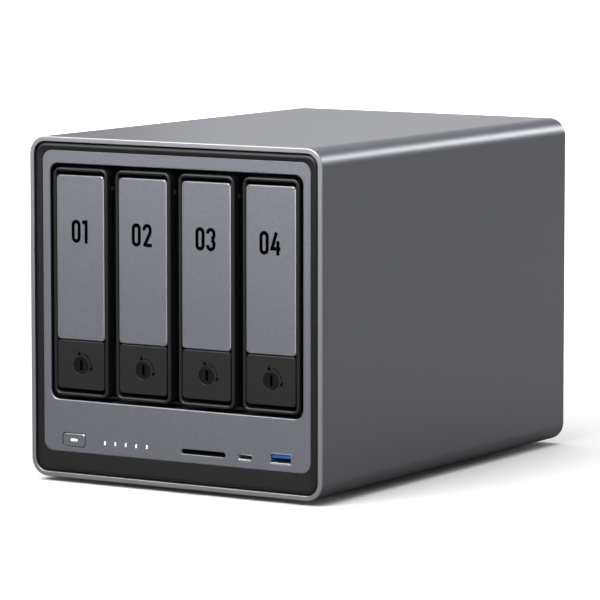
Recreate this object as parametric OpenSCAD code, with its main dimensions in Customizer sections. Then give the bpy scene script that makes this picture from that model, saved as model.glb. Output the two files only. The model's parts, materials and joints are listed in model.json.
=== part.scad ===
// A four-bay network storage enclosure. A metal sleeve on rubber feet holds a steel drive cage,
// four pull-out trays, a front frame with buttons and sockets, two circuit boards, a power supply
// and a rear fan behind a magnetic filter.
// The front faces -Y, the sockets at the back face +Y, and the feet stand on z = 0.

/* [Case] */
// Width of the metal sleeve
case_w = 178; // [177:0.5:182]
// Height of the metal sleeve without its feet
case_h = 178; // [177:0.5:182]
// Depth of the metal sleeve
case_d = 257; // [256:1:275]
// Outer radius of the sleeve's four long edges
corner_r = 9.5; // [8:0.5:11]
// Wall thickness of the sleeve
wall = 2.6; // [2.2:0.1:3]
// Height of the rubber feet
foot_h = 2.5; // [2:0.5:5]

/* [Front] */
// Width of the grey face plate
plate_w = 163.2; // [160:0.2:164]
// Height of the grey face plate
plate_h = 157.2; // [154:0.2:158]
// Height of the black chin under the face plate, from the sleeve's outer bottom
chin_h = 13.65; // [13:0.05:15]
// Depth of the face plate behind the sleeve's front edge
plate_inset = 1.05; // [0.8:0.05:2]
// Width of the opening for the trays
bay_w = 154.4; // [154:0.2:156]
// Height of the opening for the trays
bay_h = 123.3; // [122:0.1:125]

/* [Trays] */
// Number of trays
tray_count = 4; // [4:1:4]
// Distance between the middles of two trays
pitch = 38.75; // [38.5:0.05:38.8]
// Width of a tray's front ring
ring_w = 33.9; // [33.5:0.1:34.5]
// Height of a tray's front ring
ring_h = 119.1; // [118.5:0.1:119.5]
// Width of a tray's handle and latch
panel_w = 29.4; // [29:0.1:29.6]
// Thickness of the bare drive that a tray holds
drive_t = 26.1; // [26.1:0.1:26.1]
// Width of that drive, which stands on its long edge
drive_w = 101.6; // [101.6:0.1:101.6]
// Length of that drive
drive_l = 147; // [147:0.5:147]

/* [Fan] */
// Side of the square fan
fan_size = 140; // [140:1:140]
// Thickness of the fan
fan_t = 25; // [20:1:25]
// Number of fan blades
blades = 9; // [7:1:11]

/* [Hidden] */
front_y = -case_d / 2;
rear_y = case_d / 2;
mid_z = foot_h + case_h / 2;
floor_z = foot_h + wall;
roof_z = foot_h + case_h - wall;
inner_w = case_w - 2 * wall;
inner_h = case_h - 2 * wall;
inner_r = corner_r - wall;
slip = 0.3; // gap between the sleeve and what slides into it
eps = 0.02;

// Front frame and face plate
frame_w = inner_w - 2 * slip;
frame_h = inner_h - 2 * slip;
frame_r = inner_r - slip;
plate_y = front_y + plate_inset;
plate_t = 1.5;
plate_r = 5.5;
plate_z = foot_h + chin_h + plate_h / 2;
seat_y = plate_y + plate_t;
frame_wall = 2;
frame_back = seat_y + 14;
crest = 0.65; // how far the frame's lip stands proud of the face plate
lip_r = crest + plate_t; // rounding of that lip
lip_w = 2; // slope from the crest down to the face plate
bay_r = 5;
bay_z = foot_h + 102.6;

// Row of controls under the trays
row_z = foot_h + 20.1;
button_x = -62.7;
button_w = 14.3;
button_h = 6.9;
button_r = 1.8;
button_travel = 0.8;
light_w = 4.3;
light_h = 1.2;
light_r = 0.58;
flange_t = 1.2;
flange_y = seat_y + frame_wall + slip;
switch_y = seat_y + 6.2;
led_x = -43.5;
led_pitch = 6.52;
led_w = 1.15;
led_h = 2.3;
led_count = 5;
led_z = row_z - 0.2;
card_x = 17.25;
card_w = 26.8;
card_h = 2.65;
card_z = foot_h + 19.45;
usb_c_x = 42.9;
usb_c_w = 8.9;
usb_c_h = 3.1;
usb_c_z = foot_h + 19.35;
usb_a_x = 63.95;
usb_a_w = 12.9;
usb_a_h = 5.5;
usb_a_z = foot_h + 20.25;
port_y = plate_y + 0.15; // front edge of the sockets' metal shells
board_t = 1.6;
front_board_z = foot_h + 15.4;

// Trays
ring_y = front_y + 0.9;
ring_d = 16;
ring_r = 4;
ring_wall = 1.95;
panel_y = plate_y;
panel_r = 2;
handle_bottom = foot_h + 72.8;
handle_top = foot_h + 158.25;
latch_bottom = foot_h + 46.95;
latch_top = foot_h + 72.3;
hinge_y = front_y + 6.4;
hinge_z = foot_h + 151.8;
pin_r = 1.3;
running = 0.05; // clearance around a turning pin
skin_t = 1.2;
lever_t = 2.6;
cheek_t = 1.6;
cheek_y = hinge_y + 1.9;
lock_r = 4.6;
lock_z = foot_h + 59.4;
lock_d = 9;
post_x = 11.5;
post_r = 1.6;

// Cage, guides and carriers
steel = 1.2;
cage_y = ring_y + ring_d + 0.6;
cage_w = 157.4;
cage_h = 123.8;
cage_l = 155;
guide_t = 2;
rib_h = 8.5;
guide_gap = 0.5;
carrier_w = drive_t + 4.9;
carrier_h = drive_w + 15;
carrier_y = ring_y + ring_d;
carrier_l = drive_l + 4.6;
rail_t = 2.4;
side_t = 1.6;
drive_hole_r = 1.9;
drive_hole_y = 44.45;
drive_hole_z = 95.25;
drive_rear = carrier_y + drive_l + 3.6; // plane of a fitted drive's connector end
drive_hole_mid = drive_rear - 63.5;

// Back
lug = 11;
lug_l = 12;
corner_screw = inner_w / 2 - 6.5; // screw positions in the sleeve's lugs, from the middle
backplane_y = cage_y + cage_l;
panel_t = 1.5;
rear_panel_y = rear_y - 4.5;
filter_t = 2.4;
filter_y = rear_panel_y + panel_t + 0.05;
net_t = 0.4;
net_back = 0.9; // depth of the rebate that the net lies in
fan_z = roof_z - fan_size / 2 - 0.4;
fan_bore = 66.5;
fan_hole = 62.25;
hub_r = 20.5;
main_board_z = floor_z + 6.9;
main_board_x = -33;
main_board_w = 102;
main_board_y = 13;
main_board_l = 212;
standoff_x = 43;
standoff_y = 87;
supply_x = 54;
supply_w = 60;
supply_h = 33;
supply_y = -36;
supply_l = 133;
supply_z = floor_z + 2.4;
inlet_z = floor_z + 19;
lan_x = [-66, -48];
lan_w = 16;
lan_h = 13.5;
hdmi_x = -30;
usb_rear_x = -13;
reset_x = 1;
slot_x = 14;
rear_row_z = main_board_z + board_t;
cover_w = 120;
cover_l = 140;
cover_t = 1.4;
cover_ledge = 8;
cover_y = -8;
foot_r = 8;
foot_x = 62;
foot_y = 96;

TRAY_PARTS = ["carrier", "ring", "handle", "face", "latch", "lock"];

// Middle of tray n, counted from the left
function tray_x(n) = (n - (tray_count + 1) / 2) * pitch;

// ---- shared shapes ----

// Rounded rectangle about the origin
module round_rect(w, h, r) {
  square([w - 2 * r, h], center = true);
  square([w, h - 2 * r], center = true);
  for (x = [-1, 1], y = [-1, 1])
    translate([x * (w / 2 - r), y * (h / 2 - r)]) circle(r, $fn = 48);
}

// Turns a flat XY outline up into the XZ plane, from y backwards
module upright(y, depth)
  translate([0, y + depth, 0]) rotate([90, 0, 0]) linear_extrude(depth) children();

// An upright plate with rounded corners
module slab(x, z, w, h, r, y, depth)
  translate([x, 0, z]) upright(y, depth) round_rect(w, h, r);

// A box given by its middle in x, its front, and its bottom
module block(x, y, z, w, l, h)
  translate([x - w / 2, y, z]) cube([w, l, h]);

// Profile swept round a rounded rectangle. The profile's x counts from the corner's centre
// and its y counts forwards from the plane at y
module swept(x, z, w, h, r, y)
  translate([x, y, z]) rotate([90, 0, 0])
    for (q = [0:3]) {
      across = (q % 2 == 0 ? w : h) / 2 - r;
      along = (q % 2 == 0 ? h : w) / 2 - r;
      rotate([0, 0, 90 * q]) translate([across, along, 0]) {
        rotate([90, 0, 0]) linear_extrude(2 * along) children();
        rotate_extrude(angle = 90, $fn = 64) children();
      }
    }

// Cutter that bevels the front edge of an upright plate
module bevel_outside(x, z, w, h, r, y, c)
  swept(x, z, w, h, r, y)
    polygon([[r - c - eps, eps], [r + eps, eps], [r + eps, -c - eps]]);

// Cutter that bevels the front edge of a hole in an upright plate
module bevel_hole(x, z, w, h, r, y, c)
  swept(x, z, w, h, r, y)
    polygon([[r + c + eps, eps], [r - eps, eps], [r - eps, -c - eps]]);

// Rod along Y
module rod_y(x, y, z, r, length)
  translate([x, y, z]) rotate([-90, 0, 0]) cylinder(r = r, h = length, $fn = 48);

// Screw standing head down, with a cross recess in its head
module screw(head_r, head_h, shank_r, shank_l)
  difference() {
    union() {
      cylinder(r = head_r, h = head_h, $fn = 32);
      cylinder(r = shank_r, h = head_h + shank_l, $fn = 32);
    }
    for (a = [0, 90]) rotate([0, 0, a])
      translate([-head_r * 0.6, -0.3, -eps]) cube([head_r * 1.2, 0.6, head_h * 0.6]);
  }

// ---- case ----

// Repeats its children at the bottom cover's four screws
module at_cover_screws(z)
  for (x = [-1, 1], y = [-1, 1])
    translate([x * (cover_w / 2 - 4), cover_y + y * (cover_l / 2 - 4), z]) children();

module outer_shell() color([0.40, 0.40, 0.42]) {
  difference() {
    slab(0, mid_z, case_w, case_h, corner_r, front_y, case_d);
    slab(0, mid_z, inner_w, inner_h, inner_r, front_y - 1, case_d + 2);
    bevel_outside(0, mid_z, case_w, case_h, corner_r, front_y, 0.7);
    mirror([0, 1, 0]) bevel_outside(0, mid_z, case_w, case_h, corner_r, front_y, 0.7);
    bevel_hole(0, mid_z, inner_w, inner_h, inner_r, front_y, 0.3);
    translate([0, cover_y, foot_h - eps]) linear_extrude(cover_t + eps) round_rect(cover_w, cover_l, 5);
    translate([0, cover_y, foot_h]) linear_extrude(wall + 1)
      round_rect(cover_w - 2 * cover_ledge, cover_l - 2 * cover_ledge, 3);
    at_cover_screws(foot_h) cylinder(r = 1.55, h = wall + 1, $fn = 32);
  }
  // lugs that the rear panel is screwed to
  for (x = [-1, 1], top = [0, 1])
    difference() {
      intersection() {
        block(x * (inner_w - lug) / 2, rear_panel_y - lug_l, top * (inner_h - lug) + floor_z,
              lug, lug_l, lug);
        slab(0, mid_z, inner_w + 0.2, inner_h + 0.2, inner_r + 0.1, rear_panel_y - lug_l - 1, lug_l + 2);
      }
      rod_y(x * corner_screw, rear_panel_y - 9, mid_z + (top * 2 - 1) * corner_screw, 1.55, 10);
    }
}

module bottom_cover() color([0.30, 0.30, 0.31])
  difference() {
    translate([0, cover_y, foot_h]) linear_extrude(cover_t)
      round_rect(cover_w - 2 * slip, cover_l - 2 * slip, 4.7);
    for (row = [-4:4], column = [-1:1])
      translate([column * 30, cover_y + row * 11, foot_h - 1]) linear_extrude(cover_t + 2)
        round_rect(22, 3, 1.4);
    at_cover_screws(foot_h - 1) {
      cylinder(r = 1.6, h = cover_t + 2, $fn = 32);
      cylinder(r = 2.8, h = 1.7, $fn = 32);
    }
  }

module bottom_screws() color([0.15, 0.15, 0.16])
  at_cover_screws(foot_h + 0.05) screw(2.6, 0.65, 1.5, 2.8);

module feet() color([0.08, 0.08, 0.08])
  for (x = [-1, 1], y = [-1, 1]) translate([x * foot_x, y * foot_y, 0]) {
    cylinder(r1 = foot_r - 0.8, r2 = foot_r, h = 0.8, $fn = 48);
    translate([0, 0, 0.8]) cylinder(r = foot_r, h = foot_h - 0.8, $fn = 48);
  }

// ---- front ----

// Holes for the controls, shared by the face plate and the frame behind it
module control_holes(grow, y, depth) {
  slab(button_x, row_z, button_w + 0.5 + grow, button_h + 0.5 + grow, button_r + 0.25, y, depth);
  for (i = [0:led_count - 1])
    slab(led_x + i * led_pitch, led_z, led_w + grow, led_h + grow, led_w / 2 - 0.05, y, depth);
  slab(card_x, card_z, card_w + grow, card_h + grow, card_h / 2 - 0.05, y, depth);
  slab(usb_c_x, usb_c_z, usb_c_w + grow, usb_c_h + grow, usb_c_h / 2 - 0.05, y, depth);
  slab(usb_a_x, usb_a_z, usb_a_w + grow, usb_a_h + grow, 0.5, y, depth);
}

// Section of the front frame's rounded lip, with its crest and the slope down to the face plate
LIP = concat([for (i = [0:6]) [frame_r - lip_r + lip_r * cos(i * 15), lip_r * sin(i * 15) - plate_t]],
             [[frame_r - lip_r - lip_w, 0], [frame_r - lip_r - lip_w, -plate_t]]);

module front_frame() color([0.10, 0.10, 0.10]) {
  plateau_w = frame_w - 2 * lip_r - 1;
  plateau_h = frame_h - 2 * lip_r - 1;
  chin_top = foot_h + chin_h;
  lip_z = foot_h + wall + slip + lip_r;
  difference() {
    union() {
      slab(0, mid_z, frame_w, frame_h, frame_r, seat_y, frame_back - seat_y);
      difference() {
        slab(0, mid_z, plateau_w, plateau_h, frame_r - lip_r - 0.5, plate_y, plate_t);
        slab(0, plate_z, plate_w + 0.2, plate_h + 0.2, plate_r, seat_y - 3, 4);
      }
      swept(0, mid_z, frame_w, frame_h, frame_r, plate_y) polygon(LIP);
      // sloping chin
      translate([-plateau_w / 2 + 2, 0, 0]) rotate([90, 0, 90]) linear_extrude(plateau_w - 4)
        polygon([[seat_y, lip_z + 0.3], [plate_y - crest + 0.1, lip_z + 0.3],
                 [plate_y + 0.05, chin_top - 0.1], [seat_y, chin_top - 0.1]]);
    }
    slab(0, bay_z, bay_w, bay_h, bay_r, seat_y - 1, 20);
    // pocket for the front board
    slab(0, foot_h + 21.5, frame_w - 7, 33, 3, seat_y + frame_wall, 20);
    control_holes(0.1, seat_y - 1, 4);
  }
}

module face_plate() color([0.45, 0.45, 0.47])
  difference() {
    slab(0, plate_z, plate_w, plate_h, plate_r, plate_y, plate_t);
    bevel_outside(0, plate_z, plate_w, plate_h, plate_r, plate_y, 0.25);
    slab(0, bay_z, bay_w, bay_h, bay_r, plate_y - 1, 4);
    bevel_hole(0, bay_z, bay_w, bay_h, bay_r, plate_y, 0.35);
    control_holes(0, plate_y - 1, 4);
  }

module power_button() color([0.42, 0.42, 0.44])
  difference() {
    union() {
      slab(button_x, row_z, button_w, button_h, button_r, plate_y - 0.15, 4);
      slab(button_x, row_z, button_w + 3, button_h + 3, button_r, flange_y, flange_t);
      rod_y(button_x, flange_y + 1, row_z, 2.2, switch_y - button_travel - flange_y - 1);
    }
    bevel_outside(button_x, row_z, button_w, button_h, button_r, plate_y - 0.15, 0.3);
    slab(button_x, row_z, light_w, light_h, light_r, plate_y - 1, 3);
  }

module power_light() color([1, 1, 1])
  slab(button_x, row_z, light_w, light_h, light_r, plate_y - 0.2, 2.2);

module status_lights() color([1, 1, 1])
  for (i = [0:led_count - 1])
    slab(led_x + i * led_pitch, led_z, led_w - 0.1, led_h - 0.1, led_w / 2 - 0.1, plate_y + 0.05, 8);

module front_board() color([0.06, 0.20, 0.12]) {
  block(0, flange_y + flange_t + button_travel + 0.2, front_board_z, 152, 23, board_t);
  block(button_x, switch_y, front_board_z + board_t, 6, 3.5, 6);
  for (i = [0:led_count - 1])
    block(led_x + i * led_pitch, plate_y + 8.1, front_board_z + board_t, 3, 2, 4.5);
}

module card_reader() color([0.2, 0.2, 0.21]) {
  top = front_board_z + board_t;
  difference() {
    block(card_x, seat_y + 3.5, top, card_w + 2.4, 26, 5.2);
    block(card_x, seat_y + 2.5, card_z - 1.2, 24.6, 25, 2.4);
  }
}

module usb_c_port() color([0.75, 0.75, 0.77]) {
  difference() {
    slab(usb_c_x, usb_c_z, usb_c_w - 0.3, usb_c_h - 0.3, usb_c_h / 2 - 0.2, port_y, 12);
    slab(usb_c_x, usb_c_z, usb_c_w - 0.8, usb_c_h - 0.8, usb_c_h / 2 - 0.45, plate_y - 1, 10);
  }
  block(usb_c_x, plate_y + 1.2, usb_c_z - 0.35, 6.7, 9, 0.7);
}

module usb_a_port() color([0.75, 0.75, 0.77])
  difference() {
    slab(usb_a_x, usb_a_z, usb_a_w - 0.3, usb_a_h - 0.3, 0.4, port_y, 18);
    slab(usb_a_x, usb_a_z, usb_a_w - 0.9, usb_a_h - 0.9, 0.2, plate_y - 1, 17);
  }

module usb_a_tongue() color([0.10, 0.25, 0.80])
  block(usb_a_x, plate_y + 1, usb_a_z + 0.2, usb_a_w - 1.8, 14.3, 2);

// ---- trays ----

module tray_ring(n) color([0.11, 0.11, 0.11]) {
  x = tray_x(n);
  round_y = ring_y + ring_wall / 2;
  difference() {
    union() {
      slab(x, bay_z, ring_w, ring_h, ring_r, round_y, ring_d - ring_wall / 2);
      swept(x, bay_z, ring_w, ring_h, ring_r, round_y)
        translate([ring_r - ring_wall / 2, 0]) circle(ring_wall / 2, $fn = 48);
    }
    slab(x, bay_z, ring_w - 2 * ring_wall, ring_h - 2 * ring_wall, ring_r - ring_wall,
         round_y - 2, ring_d - 1);
    translate([x - ring_w, hinge_y, hinge_z]) rotate([0, 90, 0])
      cylinder(r = pin_r + running, h = 2 * ring_w, $fn = 48);
    for (side = [-1, 1]) rod_y(x + side * post_x, ring_y, lock_z, post_r + 0.2, ring_d + 1);
  }
}

module tray_handle(n) color([0.12, 0.12, 0.12]) {
  x = tray_x(n);
  height = handle_top - handle_bottom;
  middle = (handle_top + handle_bottom) / 2;
  difference() {
    union() {
      slab(x, middle, panel_w, height, panel_r, panel_y + skin_t, lever_t);
      for (side = [-1, 1])
        block(x + side * (panel_w - cheek_t) / 2, panel_y + skin_t + 1, handle_bottom + 4, cheek_t,
              cheek_y - panel_y - skin_t - 1, height - 6);
      // trunnions that turn in the ring's side walls
      for (side = [-1, 1])
        translate([x + side * (panel_w / 2 - cheek_t), hinge_y, hinge_z]) rotate([0, side * 90, 0])
          cylinder(r = pin_r, h = cheek_t + 1.9, $fn = 48);
    }
    // finger hollow behind the lower end
    block(x, panel_y + skin_t + 1.2, handle_bottom + 2, panel_w - 8, 5, 22);
  }
}

module tray_face(n) color([0.50, 0.50, 0.53]) {
  height = handle_top - handle_bottom;
  middle = (handle_top + handle_bottom) / 2;
  difference() {
    slab(tray_x(n), middle, panel_w, height, panel_r, panel_y, skin_t);
    bevel_outside(tray_x(n), middle, panel_w, height, panel_r, panel_y, 0.35);
  }
}

module tray_latch(n) color([0.13, 0.13, 0.13]) {
  x = tray_x(n);
  height = latch_top - latch_bottom;
  middle = (latch_top + latch_bottom) / 2;
  difference() {
    union() {
      slab(x, middle, panel_w, height, panel_r, panel_y, 3);
      rod_y(x, panel_y + 1, lock_z, lock_r + 1.8, 7.5);
      for (side = [-1, 1]) rod_y(x + side * post_x, panel_y + 1, lock_z, post_r, 14.6);
    }
    bevel_outside(x, middle, panel_w, height, panel_r, panel_y, 0.3);
    rod_y(x, panel_y - 1, lock_z, lock_r + running, 12);
  }
}

module tray_lock(n) color([0.09, 0.09, 0.09]) {
  x = tray_x(n);
  difference() {
    rod_y(x, panel_y + 0.15, lock_z, lock_r, lock_d);
    block(x, panel_y - 1, lock_z - 2.8, 1.6, 5, 5.6);
  }
  // cam bar behind the cylinder
  slab(x, lock_z - 2.5, 4, 9.5, 1.9, panel_y + lock_d + 0.15, 1.2);
}

module tray_carrier(n) color([0.10, 0.10, 0.10]) {
  x = tray_x(n);
  rail_z = (carrier_h / 2) - 4.8;
  difference() {
    union() {
      block(x, carrier_y, bay_z - carrier_h / 2, carrier_w, 2, carrier_h);
      for (end = [-1, 1]) {
        block(x, carrier_y, bay_z + end * (rail_z - rail_t / 2) - rail_t / 2, carrier_w, carrier_l, rail_t);
        for (side = [-1, 1])
          block(x + side * 13.5, carrier_y, bay_z + end * (rail_z + 2.4) - 2.4, 2, carrier_l, 4.8);
      }
      block(x - carrier_w / 2 + side_t / 2, carrier_y, bay_z - rail_z, side_t, carrier_l, 2 * rail_z);
    }
    for (i = [0:2])
      translate([x - carrier_w, carrier_y + 28 + i * 46, bay_z]) rotate([90, 0, 90])
        linear_extrude(carrier_w) round_rect(34, 72, 5);
    for (y = [-1, 1], z = [-1, 1])
      translate([x - carrier_w, drive_hole_mid + y * drive_hole_y / 2, bay_z + z * drive_hole_z / 2])
        rotate([0, 90, 0]) cylinder(r = drive_hole_r, h = carrier_w, $fn = 32);
    for (side = [-1, 1]) rod_y(x + side * post_x, carrier_y - 1, lock_z, post_r + 0.4, 4);
  }
}

// ---- inside ----

module drive_cage() color([0.55, 0.56, 0.57]) {
  bottom = bay_z - cage_h / 2;
  difference() {
    block(0, cage_y, bottom, cage_w, cage_l, cage_h);
    block(0, cage_y - 1, bottom + steel, cage_w - 2 * steel, cage_l + 2, cage_h - 2 * steel);
    // air slots in both sides
    for (i = [0:4])
      translate([-cage_w, cage_y + 22 + i * 28, bay_z]) rotate([90, 0, 90])
        linear_extrude(2 * cage_w) round_rect(8, 90, 3.9);
    // windows in the top and the bottom
    for (n = [1:tray_count])
      translate([tray_x(n), cage_y + cage_l / 2, bottom - 1]) linear_extrude(cage_h + 2)
        round_rect(14, 110, 6);
  }
  // ears that hold the cage off the sleeve
  for (side = [-1, 1], y = [28, 112])
    block(side * (cage_w + inner_w) / 4, cage_y + y, bottom + 20, (inner_w - cage_w) / 2, 16, steel);
}

module tray_guides() color([0.12, 0.12, 0.12]) {
  inner = cage_h / 2 - steel;
  channel = carrier_w + 2 * guide_gap;
  for (end = [-1, 1])
    translate([0, cage_y + 1, bay_z]) scale([1, 1, end]) difference() {
      translate([-cage_w / 2 + steel, 0, -inner]) cube([cage_w - 2 * steel, cage_l - 2, guide_t + rib_h]);
      for (n = [1:tray_count]) {
        translate([tray_x(n) - channel / 2, -1, guide_t - inner]) cube([channel, cage_l, rib_h + 1]);
        translate([tray_x(n), cage_l / 2 - 1, -inner - 1]) linear_extrude(guide_t + 2)
          round_rect(14, 110, 6);
      }
    }
}

module backplane() color([0.06, 0.20, 0.12])
  difference() {
    union() {
      block(0, backplane_y, bay_z - cage_h / 2, cage_w, board_t, cage_h);
      block(-44, backplane_y, rear_row_z + 2, 60, board_t, 40);
    }
    // air windows between the drive sockets
    for (n = [1:tray_count])
      translate([tray_x(n) + 4.5, 0, bay_z + 20]) upright(backplane_y - 1, 4) round_rect(22, 70, 3);
  }

module drive_sockets() color([0.08, 0.08, 0.08])
  for (n = [1:tray_count]) {
    x = tray_x(n) - 9;
    front = drive_rear + 0.2;
    difference() {
      block(x, front, bay_z - 46, 6.5, backplane_y - front, 44);
      block(x, front - 1, bay_z - 44, 2, 3.4, 22);
      block(x, front - 1, bay_z - 20, 2, 3.4, 15);
    }
  }

// Repeats its child at the main board's six standoffs
module at_standoffs(z)
  for (x = [-1, 1], y = [-1, 0, 1])
    translate([main_board_x + x * standoff_x, main_board_y + y * standoff_y, z]) children();

module main_board() color([0.06, 0.20, 0.12]) {
  front = main_board_y - main_board_l / 2;
  difference() {
    block(main_board_x, front, main_board_z, main_board_w, main_board_l, board_t);
    at_standoffs(main_board_z - 1) cylinder(r = 1.6, h = 4, $fn = 32);
    // notch round the sleeve's rear lug
    block(-inner_w / 2, rear_panel_y - lug_l - 1, main_board_z - 1, 2 * lug + 2, 2 * lug_l, 4);
  }
  // processor under the heat sink
  block(main_board_x, -32, main_board_z + board_t, 26, 24, 1.2);
  // riser socket that the backplane plugs into
  difference() {
    block(-44, backplane_y - 3, main_board_z + board_t, 66, 7.6, 7);
    block(-44, backplane_y - 0.1, main_board_z + board_t + 2, 60.4, board_t + 0.2, 8);
  }
}

module board_standoffs() color([0.78, 0.62, 0.28])
  at_standoffs(floor_z) {
    cylinder(r = 2.8, h = main_board_z - floor_z, $fn = 6);
    cylinder(r = 1.5, h = main_board_z - floor_z + board_t + 0.4, $fn = 32);
    translate([0, 0, main_board_z - floor_z + board_t]) cylinder(r = 2.7, h = 1.4, $fn = 32);
  }

module heat_sink() color([0.70, 0.71, 0.72]) {
  base_z = main_board_z + board_t + 1.2;
  block(main_board_x, -50, base_z, 66, 60, 3);
  for (i = [-8:8])
    block(main_board_x + i * 4, -50, base_z + 3, 1, 60, 20);
}

// Notebook memory sockets lie on the board's underside, over the bottom cover
module memory_sockets() color([0.12, 0.12, 0.12])
  for (y = [-22, 18])
    difference() {
      block(-26, y, main_board_z - 4.6, 72, 6.5, 4.6);
      block(-26, y + 3, main_board_z - 3.4, 68, 4, 1.3);
    }

module memory_module() color([0.06, 0.24, 0.14]) {
  block(-26, -19, main_board_z - 3.35, 67.6, 30, 1.2);
  for (x = [-24, -8, 8, 24])
    block(-26 + x, -9, main_board_z - 4.35, 11, 14, 1);
}

module power_supply() color([0.66, 0.67, 0.68])
  difference() {
    block(supply_x, supply_y, supply_z, supply_w, supply_l, supply_h);
    block(supply_x, supply_y + steel, supply_z + steel,
          supply_w - 2 * steel, supply_l - 2 * steel, supply_h - 2 * steel);
    // round vents in the front end and in the side by the board
    for (x = [-4:4], z = [-1:1])
      rod_y(supply_x + x * 6, supply_y - 1, supply_z + supply_h / 2 + z * 7, 1.8, 4);
    for (i = [0:8])
      translate([supply_x - supply_w / 2 - 1, supply_y + 18 + i * 12, supply_z + supply_h / 2])
        rotate([90, 0, 90]) linear_extrude(4) round_rect(4, 22, 1.9);
  }

module power_inlet() color([0.08, 0.08, 0.08]) {
  difference() {
    union() {
      slab(supply_x, inlet_z, 31, 24, 2.5, rear_panel_y + panel_t, 2);
      slab(supply_x, inlet_z, 27, 20, 1.5, rear_panel_y - 15.8, 16.5 + panel_t);
    }
    slab(supply_x, inlet_z, 24.4, 16.6, 3, rear_panel_y - 13.5, 20);
  }
  for (x = [-7, 0, 7])
    block(supply_x + x, rear_panel_y - 14, inlet_z + (x == 0 ? 1 : -2), 2, 12.5, 4);
}

// ---- back ----

module rear_panel() color([0.20, 0.20, 0.21])
  difference() {
    slab(0, mid_z, frame_w, frame_h, frame_r, rear_panel_y, panel_t);
    // honeycomb air holes over the fan
    step = 9.6;
    for (row = [-8:8], column = [-7:7]) {
      x = column * step + (row % 2 == 0 ? 0 : step / 2);
      z = row * step * sin(60);
      if (norm([x, z]) < 60)
        translate([x, rear_panel_y - 1, fan_z + z]) rotate([-90, 0, 0]) rotate([0, 0, 30])
          cylinder(r = 4.7, h = panel_t + 2, $fn = 6);
    }
    for (x = [-1, 1], z = [-1, 1]) {
      rod_y(x * fan_hole, rear_panel_y - 1, fan_z + z * fan_hole, 2.2, 4);
      rod_y(x * corner_screw, rear_panel_y - 1, mid_z + z * corner_screw, 1.7, 4);
    }
    slab(supply_x, inlet_z, 27.4, 20.4, 1.6, rear_panel_y - 1, 4);
    for (x = lan_x)
      slab(x, rear_row_z + lan_h / 2, lan_w + 0.6, lan_h + 0.6, 0.5, rear_panel_y - 1, 4);
    slab(hdmi_x, rear_row_z + 3.2, 15.6, 6.8, 1, rear_panel_y - 1, 4);
    slab(usb_rear_x, rear_row_z + 7.8, 14.1, 16.2, 0.5, rear_panel_y - 1, 4);
    rod_y(reset_x, rear_panel_y - 1, rear_row_z + 5, 1.5, 4);
    slab(slot_x, rear_row_z + 5, 7, 3, 0.5, rear_panel_y - 1, 4);
  }

module rear_screws() color([0.15, 0.15, 0.16])
  for (x = [-1, 1], z = [-1, 1]) {
    translate([x * fan_hole, rear_panel_y + panel_t + 1.3, fan_z + z * fan_hole]) rotate([90, 0, 0])
      screw(3.8, 1.3, 2.0, panel_t + 8);
    translate([x * corner_screw, rear_panel_y + panel_t + 1.3, mid_z + z * corner_screw])
      rotate([90, 0, 0]) screw(2.8, 1.3, 1.5, panel_t + 6);
  }

module fan_frame() color([0.09, 0.09, 0.09]) {
  front = rear_panel_y - fan_t;
  difference() {
    slab(0, fan_z, fan_size, fan_size, 6, front, fan_t);
    rod_y(0, front - 1, fan_z, fan_bore, fan_t + 2);
    for (x = [-1, 1], z = [-1, 1])
      rod_y(x * fan_hole, front - 1, fan_z + z * fan_hole, 2.15, fan_t + 2);
    // hollow outside between the two flanges
    for (a = [0:90:270]) translate([0, 0, fan_z]) rotate([0, a, 0])
      block(0, front + 5, 68.3, 104, fan_t - 10, 5);
  }
  // motor base with its bearing, held by four arms
  difference() {
    union() {
      rod_y(0, rear_panel_y - 3.6, fan_z, hub_r, 3.6);
      for (a = [45:90:315]) translate([0, 0, fan_z]) rotate([0, a, 0])
        block(0, rear_panel_y - 3.6, hub_r - 1, 4, 3.6, fan_bore - hub_r + 2);
    }
    rod_y(0, rear_panel_y - 3.7, fan_z, 2 + running, 3);
  }
}

module fan_rotor() color([0.12, 0.12, 0.12]) {
  hub_l = fan_t - 6;
  front = rear_panel_y - fan_t + 1;
  translate([0, front, fan_z]) rotate([-90, 0, 0]) {
    cylinder(r = hub_r, h = hub_l, $fn = 64);
    cylinder(r = 2, h = fan_t - 2, $fn = 32);
    for (k = [0:blades - 1])
      intersection() {
        difference() {
          cylinder(r = fan_bore - 1.5, h = hub_l, $fn = 96);
          translate([0, 0, -1]) cylinder(r = hub_r - 1, h = hub_l + 2, $fn = 64);
        }
        rotate([0, 0, k * 360 / blades]) translate([hub_r - 1, 0, hub_l / 2]) rotate([36, 0, 0])
          translate([0, -20, -0.7]) cube([fan_bore, 40, 1.4]);
      }
  }
}

// Magnetic dust filter over the fan, clear of the screw heads
module filter_frame() color([0.12, 0.12, 0.12]) {
  difference() {
    slab(0, fan_z, fan_size, fan_size, 8, filter_y, filter_t);
    slab(0, fan_z, fan_size - 14, fan_size - 14, 20, filter_y - 1, filter_t + 2);
    slab(0, fan_z, fan_size - 13, fan_size - 13, 20.5, filter_y - 1, net_back + 1);
    for (x = [-1, 1], z = [-1, 1]) rod_y(x * fan_hole, filter_y - 1, fan_z + z * fan_hole, 4.3, 5);
  }
  for (a = [0, 90]) translate([0, 0, fan_z]) rotate([0, a, 0])
    for (u = [-31.5, 0, 31.5])
      block(u, filter_y + net_back, -fan_size / 2 + 6, 1.6, filter_t - net_back, fan_size - 12);
}

module filter_mesh() color([0.05, 0.05, 0.05])
  slab(0, fan_z, fan_size - 13.2, fan_size - 13.2, 20.4, filter_y + net_back - net_t, net_t);

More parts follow.
